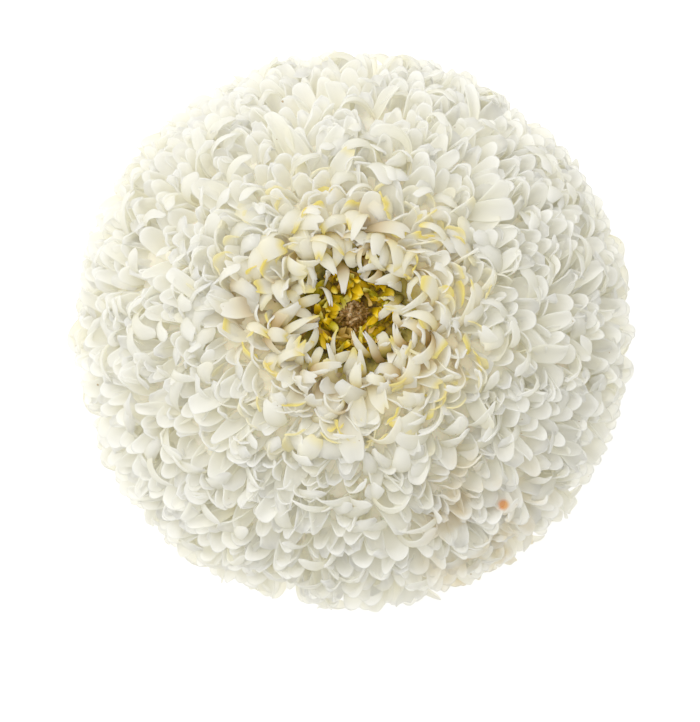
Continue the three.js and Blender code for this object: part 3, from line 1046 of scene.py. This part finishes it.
make_piece("bracts", bracts, "involucre", BRACT_TISSUE, thickness=BRACT_WALL)

# %% [markdown]
# ## The stub of stem
#
# The stem was snipped, so it ends in a flat cut with pale pith inside a green rind. It has a few soft
# ridges. A plain cylinder has no rows to shape. So a circle is drawn out upwards in steps, and its points
# are moved in and out for the ridges. The distance from the axis tells pith from rind.

# %% Stem finish
STEM_RADIUS = 2.6 * MM


def stem_tissue():
    finish, tree, surface = new_finish("stem tissue", roughness=0.5, scatter=0.08)
    surface.inputs["Subsurface Scale"].default_value = 0.8 * MM
    where = add(tree, "ShaderNodeTexCoord")
    rind = ramp(tree, from_axis(tree, where.outputs["Object"], STEM_RADIUS), [
        (0.0, (0.72, 0.74, 0.52)),
        (0.68, (0.62, 0.66, 0.38)),
        (0.84, (0.24, 0.34, 0.10)),
        (1.0, (0.20, 0.29, 0.08)),
    ])
    fibres = grain(tree, where.outputs["Object"], 500.0, 3.0, (1, 1, 0.12))
    tree.links.new(tinted(tree, fibres, 0.5, rind, (0.6, 0.66, 0.4)), surface.inputs["Base Color"])
    raise_bumps(tree, surface, fibres, 0.15 * MM)
    return finish


STEM_TISSUE = stem_tissue()

# %% Stem mesh
STEM_SIDES = 36
STEM_STEPS = 5
STEM_STEP = 2.2 * MM
RIDGES = 6
RIDGE_SHARE = 0.07
SWELL_SHARE = 0.10       # wider towards the cup
stem = bmesh.new()
bmesh.ops.create_circle(stem, cap_ends=True, segments=STEM_SIDES, radius=STEM_RADIUS,
                        matrix=Matrix.Translation((0, 0, FLOOR_GAP)))
faces = list(stem.faces)
for step in range(STEM_STEPS):
    pulled = bmesh.ops.extrude_face_region(stem, geom=faces)
    if step:
        bmesh.ops.delete(stem, geom=faces, context="FACES_ONLY")
    top = [item for item in pulled["geom"] if isinstance(item, bmesh.types.BMVert)]
    faces = [item for item in pulled["geom"] if isinstance(item, bmesh.types.BMFace)]
    bmesh.ops.translate(stem, verts=top, vec=(0, 0, STEM_STEP))
for vert in stem.verts:
    turn = math.atan2(vert.co.y, vert.co.x)
    ridge = RIDGE_SHARE * math.cos(RIDGES * turn)
    swell = 1 + ridge + SWELL_SHARE * smooth_share(vert.co.z, 6 * MM, 11 * MM)
    vert.co.x *= swell
    vert.co.y *= swell
ends = [face for face in stem.faces if len(face.verts) == STEM_SIDES]
cut_end = [face for face in ends if face.calc_center_median().z < 1 * MM]
bmesh.ops.inset_region(stem, faces=cut_end, thickness=0.35 * MM)
bmesh.ops.recalc_face_normals(stem, faces=stem.faces)
make_piece("stem_stub", stem, "stem", STEM_TISSUE)

# %% [markdown]
# ## The white table
#
# The bloom lies on a clean white ground. A white sheet alone would turn grey under a soft light, so the
# table also glows a little by itself. It is a stage for the picture and no part of the bloom.

# %% Floor
TABLE_HALF = 1.5
TABLE_GLOW = 0.5
floor_finish, floor_tree, floor_surface = new_finish("white table", roughness=0.8)
floor_where = add(floor_tree, "ShaderNodeTexCoord")
floor_grain = grain(floor_tree, floor_where.outputs["Object"], 40.0, 3.0)
floor_colour = ramp(floor_tree, floor_grain, [(0.0, (0.955, 0.955, 0.955)), (1.0, (0.985, 0.985, 0.985))])
floor_tree.links.new(floor_colour, floor_surface.inputs["Base Color"])
floor_surface.inputs["Emission Color"].default_value = (1, 1, 1, 1)
floor_surface.inputs["Emission Strength"].default_value = TABLE_GLOW
floor_mesh = bmesh.new()
bmesh.ops.create_grid(floor_mesh, x_segments=2, y_segments=2, size=TABLE_HALF)
table = bpy.data.meshes.new("floor")
floor_mesh.to_mesh(table)
floor_mesh.free()
table.materials.append(floor_finish)
floor = bpy.data.objects.new("floor", table)
bpy.context.scene.collection.objects.link(floor)
print("table", 2 * TABLE_HALF, "m wide")

# %% [markdown]
# ## Light
#
# The photo has soft studio light, stronger from the upper left. A pale surround fills every gap, one large
# round lamp at the upper left gives the shadows their side, and a small one near the camera lifts the
# crown. The florets pass light on to one another many times, so the light is followed through many bounces.

# %% Lamps and surround
SURROUND = (1, 1, 0.94, 1)
SURROUND_STRENGTH = 0.47
KEY_PLACE = (-0.7, 0.64, 1.02)
FRONT_PLACE = (0, -0.1, 1.25)
BOUNCES = 20


def add_lamp(name, size, energy, place):
    lamp_data = bpy.data.lights.new(name, "AREA")
    lamp_data.shape = "DISK"
    lamp_data.size = size
    lamp_data.energy = energy
    lamp = bpy.data.objects.new(name, lamp_data)
    lamp.location = place
    bpy.context.scene.collection.objects.link(lamp)
    print(name, "lamp", energy, "W")
    return lamp


world = bpy.data.worlds.new("studio")
bpy.context.scene.world = world
world.use_nodes = True
world.node_tree.nodes["Background"].inputs["Color"].default_value = SURROUND
world.node_tree.nodes["Background"].inputs["Strength"].default_value = SURROUND_STRENGTH
key = add_lamp("key", 1.5, 15.8, KEY_PLACE)
key.rotation_euler = (Vector((0, 0, WAIST)) - key.location).to_track_quat("-Z", "Y").to_euler()
add_lamp("front", 0.5, 3.0, FRONT_PLACE)
bpy.context.scene.view_settings.view_transform = "Standard"
bpy.context.scene.view_settings.gamma = 1.6
bpy.context.scene.cycles.max_bounces = BOUNCES
bpy.context.scene.cycles.diffuse_bounces = BOUNCES

# %% [markdown]
# ## Camera
#
# The photo looks almost straight down. A short lens close by would make the ball bulge, so a long lens from
# some way off is used, tilted a few degrees from the plumb line.

# %% Camera
CAMERA_AIM = Vector((-0.0005, -0.0055, 0.031))
CAMERA_ELEVATION = math.radians(85)
CAMERA_DISTANCE = 0.65
LENS = 185.5             # millimetres, as is the sensor
SENSOR_WIDTH = 36
camera_data = bpy.data.cameras.new("camera")
camera_data.lens = LENS
camera_data.sensor_width = SENSOR_WIDTH
camera = bpy.data.objects.new("camera", camera_data)
away = Vector((0, -math.cos(CAMERA_ELEVATION), math.sin(CAMERA_ELEVATION)))
camera.location = CAMERA_AIM + away * CAMERA_DISTANCE
camera.rotation_euler = (math.pi / 2 - CAMERA_ELEVATION, 0, 0)
bpy.context.scene.collection.objects.link(camera)
bpy.context.scene.camera = camera
print("lens", LENS, "mm from", CAMERA_DISTANCE, "m")
